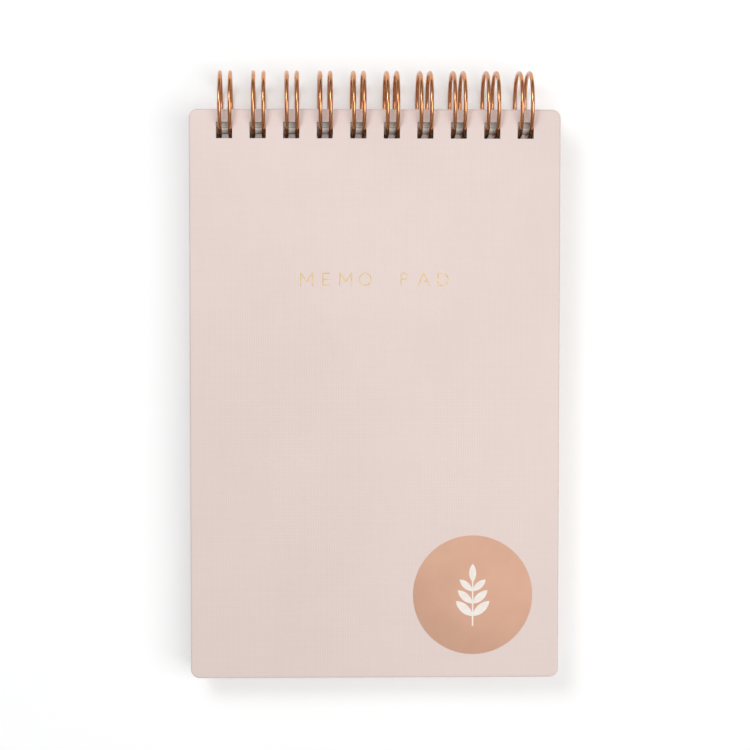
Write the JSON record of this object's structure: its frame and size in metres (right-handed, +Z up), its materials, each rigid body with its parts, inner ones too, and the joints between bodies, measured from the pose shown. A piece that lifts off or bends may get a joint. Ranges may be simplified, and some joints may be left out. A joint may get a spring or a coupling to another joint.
{
  "type": "wire-bound pocket notebook",
  "caption": "Pocket notebook with wrapped board covers and loose leaves that turn on twin-loop wire through square holes along the top edge.",
  "frame": {"origin": "middle of the object's footprint, on the surface it lies on", "axes": "+X across the pages, +Y towards the bound edge, +Z up"},
  "size_m": [0.094, 0.155, 0.0174],
  "materials": {
    "cover_wrap": "matt, linen-embossed",
    "cover_board": "raw greyboard",
    "cover_liner": "matt",
    "title_foil": "bright gold foil",
    "label_foil": "satin copper foil",
    "label_ink": "off-white print",
    "wire": "bright copper coating",
    "leaf": "uncoated"
  },
  "bodies": {
    "back_cover": {"back_cover_board": "cover_board", "back_cover_wrap": "cover_wrap", "back_cover_liner": "cover_liner"},
    "leaves_41_to_50": {"leaf_41": "leaf", "leaf_42": "leaf", "leaf_43": "leaf", "leaf_44": "leaf", "leaf_45": "leaf", "leaf_46": "leaf", "leaf_47": "leaf", "leaf_48": "leaf", "leaf_49": "leaf", "leaf_50": "leaf"},
    "leaves_31_to_40": {"leaf_31": "leaf", "leaf_32": "leaf", "leaf_33": "leaf", "leaf_34": "leaf", "leaf_35": "leaf", "leaf_36": "leaf", "leaf_37": "leaf", "leaf_38": "leaf", "leaf_39": "leaf", "leaf_40": "leaf"},
    "leaves_21_to_30": {"leaf_21": "leaf", "leaf_22": "leaf", "leaf_23": "leaf", "leaf_24": "leaf", "leaf_25": "leaf", "leaf_26": "leaf", "leaf_27": "leaf", "leaf_28": "leaf", "leaf_29": "leaf", "leaf_30": "leaf"},
    "leaves_11_to_20": {"leaf_11": "leaf", "leaf_12": "leaf", "leaf_13": "leaf", "leaf_14": "leaf", "leaf_15": "leaf", "leaf_16": "leaf", "leaf_17": "leaf", "leaf_18": "leaf", "leaf_19": "leaf", "leaf_20": "leaf"},
    "leaves_02_to_10": {"leaf_02": "leaf", "leaf_03": "leaf", "leaf_04": "leaf", "leaf_05": "leaf", "leaf_06": "leaf", "leaf_07": "leaf", "leaf_08": "leaf", "leaf_09": "leaf", "leaf_10": "leaf"},
    "first_leaf": {"leaf_01": "leaf"},
    "front_cover": {"front_cover_board": "cover_board", "front_cover_wrap": "cover_wrap", "front_cover_liner": "cover_liner", "title_foil": "title_foil", "round_label": "label_foil", "label_print": "label_ink"},
    "binding": {"wire_binding": "wire"}
  },
  "joints": [
    {"name": "leaves_41_to_50_turn", "type": "hinge", "parent": "back_cover", "child": "leaves_41_to_50", "pos_m": [0, 0.06884, 0.0087], "axis": [-1, 0, 0], "range_deg": [0, 180]},
    {"name": "leaves_31_to_40_turn", "type": "hinge", "parent": "leaves_41_to_50", "child": "leaves_31_to_40", "pos_m": [0, 0.06884, 0.0087], "axis": [-1, 0, 0], "range_deg": [0, 180]},
    {"name": "leaves_21_to_30_turn", "type": "hinge", "parent": "leaves_31_to_40", "child": "leaves_21_to_30", "pos_m": [0, 0.06884, 0.0087], "axis": [-1, 0, 0], "range_deg": [0, 180]},
    {"name": "leaves_11_to_20_turn", "type": "hinge", "parent": "leaves_21_to_30", "child": "leaves_11_to_20", "pos_m": [0, 0.06884, 0.0087], "axis": [-1, 0, 0], "range_deg": [0, 180]},
    {"name": "leaves_02_to_10_turn", "type": "hinge", "parent": "leaves_11_to_20", "child": "leaves_02_to_10", "pos_m": [0, 0.06884, 0.0087], "axis": [-1, 0, 0], "range_deg": [0, 180]},
    {"name": "first_leaf_turn", "type": "hinge", "parent": "leaves_02_to_10", "child": "first_leaf", "pos_m": [0, 0.06884, 0.0087], "axis": [-1, 0, 0], "range_deg": [0, 180]},
    {"name": "front_cover_turn", "type": "hinge", "parent": "first_leaf", "child": "front_cover", "pos_m": [0, 0.06884, 0.0087], "axis": [-1, 0, 0], "range_deg": [0, 180]},
    {"name": "binding_turn", "type": "hinge", "parent": "back_cover", "child": "binding", "pos_m": [0, 0.06884, 0.0087], "axis": [1, 0, 0], "range_deg": [-4, 240]}
  ]
}
